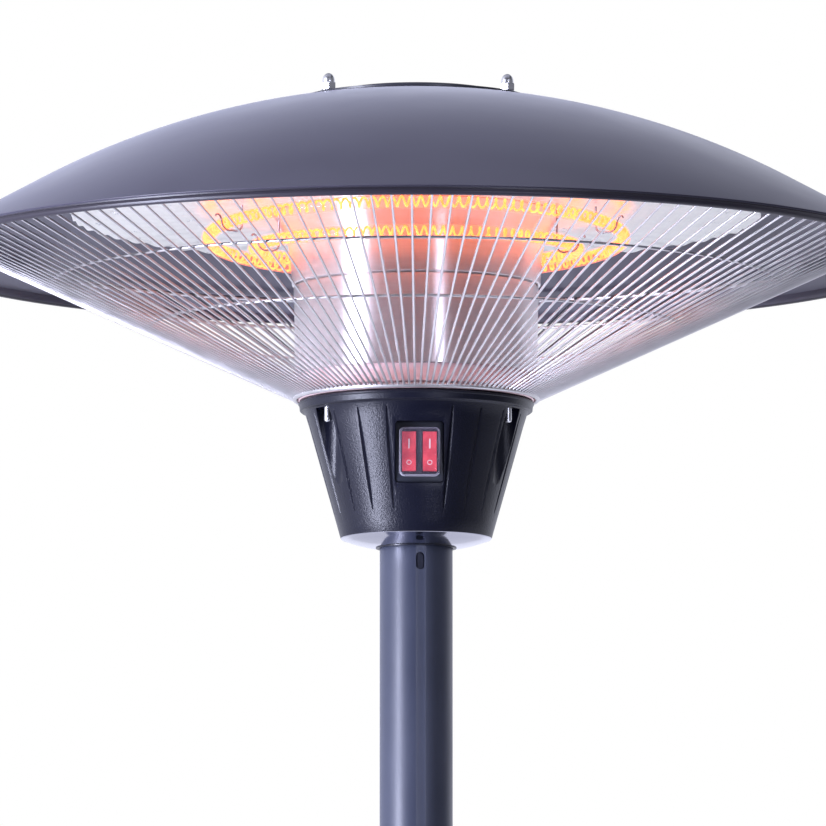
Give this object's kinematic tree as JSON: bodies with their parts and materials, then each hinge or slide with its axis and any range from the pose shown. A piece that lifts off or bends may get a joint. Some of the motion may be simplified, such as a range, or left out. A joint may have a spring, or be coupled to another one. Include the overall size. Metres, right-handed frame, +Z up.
{
  "type": "infrared patio heater",
  "caption": "Free-standing infrared patio heater: parasol shade over ring lamps behind a wire grille, twin rocker switch, telescopic pole and round weighted base.",
  "frame": {"origin": "on the floor under the base, on the pole's axis", "axes": "+Z up along the pole, -Y towards the side with the switch, +X to the right of someone facing the switch"},
  "size_m": [0.6, 0.6, 2.0991],
  "materials": {
    "shade_paint": "satin dark grey",
    "cap_paint": "satin dark grey",
    "pole_paint": "satin powder coat",
    "chrome": "polished",
    "zinc": "zinc plated",
    "polished_aluminium": "mirror polished",
    "wire": "chromed wire",
    "iron": "rough cast",
    "quartz": "clear",
    "glow": "glowing filament",
    "ceramic": "unglazed ceramic",
    "black_plastic": "moulded",
    "collar_plastic": "fine texture, semi gloss",
    "rocker_red": "translucent red",
    "clear_plastic": "clear",
    "rubber": "matte"
  },
  "bodies": {
    "stand": {"base_weight": "iron", "base_cover": "pole_paint", "base_foot_1": "rubber", "base_foot_2": "rubber", "base_foot_3": "rubber", "base_foot_4": "rubber", "pole_socket": "zinc", "socket_bolt_1": "zinc", "socket_bolt_2": "zinc", "socket_bolt_3": "zinc", "socket_bolt_4": "zinc", "lower_pole": "pole_paint", "cable_gland": "black_plastic", "guide_bush": "black_plastic", "clamp_collar": "black_plastic"},
    "knob": {"clamp_knob": "black_plastic"},
    "head": {"shade_dome": "shade_paint", "top_cap": "cap_paint", "tie_rod_1": "zinc", "tie_rod_2": "zinc", "tie_rod_3": "zinc", "cap_washer_1": "zinc", "cap_washer_2": "zinc", "cap_washer_3": "zinc", "acorn_nut_1": "chrome", "acorn_nut_2": "chrome", "acorn_nut_3": "chrome", "spacer_sleeve_1": "zinc", "spacer_sleeve_2": "zinc", "spacer_sleeve_3": "zinc", "reflector": "polished_aluminium", "upper_drum": "polished_aluminium", "lower_drum": "polished_aluminium", "drum_pan": "polished_aluminium", "grille_cone": "wire", "grille_hoop_lower": "wire", "grille_hoop_upper": "wire", "outer_quartz_tube": "quartz", "outer_heating_coil": "glow", "outer_lamp_holder": "ceramic", "outer_clip_right": "zinc", "outer_clip_left": "zinc", "inner_quartz_tube": "quartz", "inner_heating_coil": "glow", "inner_lamp_holder": "ceramic", "inner_clip_right": "zinc", "inner_clip_left": "zinc", "terminal_block": "ceramic", "tilt_switch": "black_plastic", "collar_housing": "collar_plastic", "switch_frame": "black_plastic", "switch_cover": "clear_plastic", "head_spigot": "zinc", "upper_pole": "pole_paint", "pole_plug": "black_plastic"},
    "rocker_l": {"rocker_left": "rocker_red"},
    "rocker_r": {"rocker_right": "rocker_red"}
  },
  "joints": [
    {"name": "mast_slide", "type": "slide", "parent": "stand", "child": "head", "axis": [0, 0, 1], "range_m": [-0.4, 0]},
    {"name": "clamp_turn", "type": "hinge", "parent": "stand", "child": "knob", "pos_m": [0.05, 0, 1.202], "axis": [1, 0, 0], "range_deg": [0, 270]},
    {"name": "switch_left", "type": "hinge", "parent": "head", "child": "rocker_l", "pos_m": [-0.00615, -0.0526, 1.8698], "axis": [1, 0, 0], "range_deg": [0, 16]},
    {"name": "switch_right", "type": "hinge", "parent": "head", "child": "rocker_r", "pos_m": [0.00615, -0.0526, 1.8698], "axis": [1, 0, 0], "range_deg": [0, 16]}
  ]
}
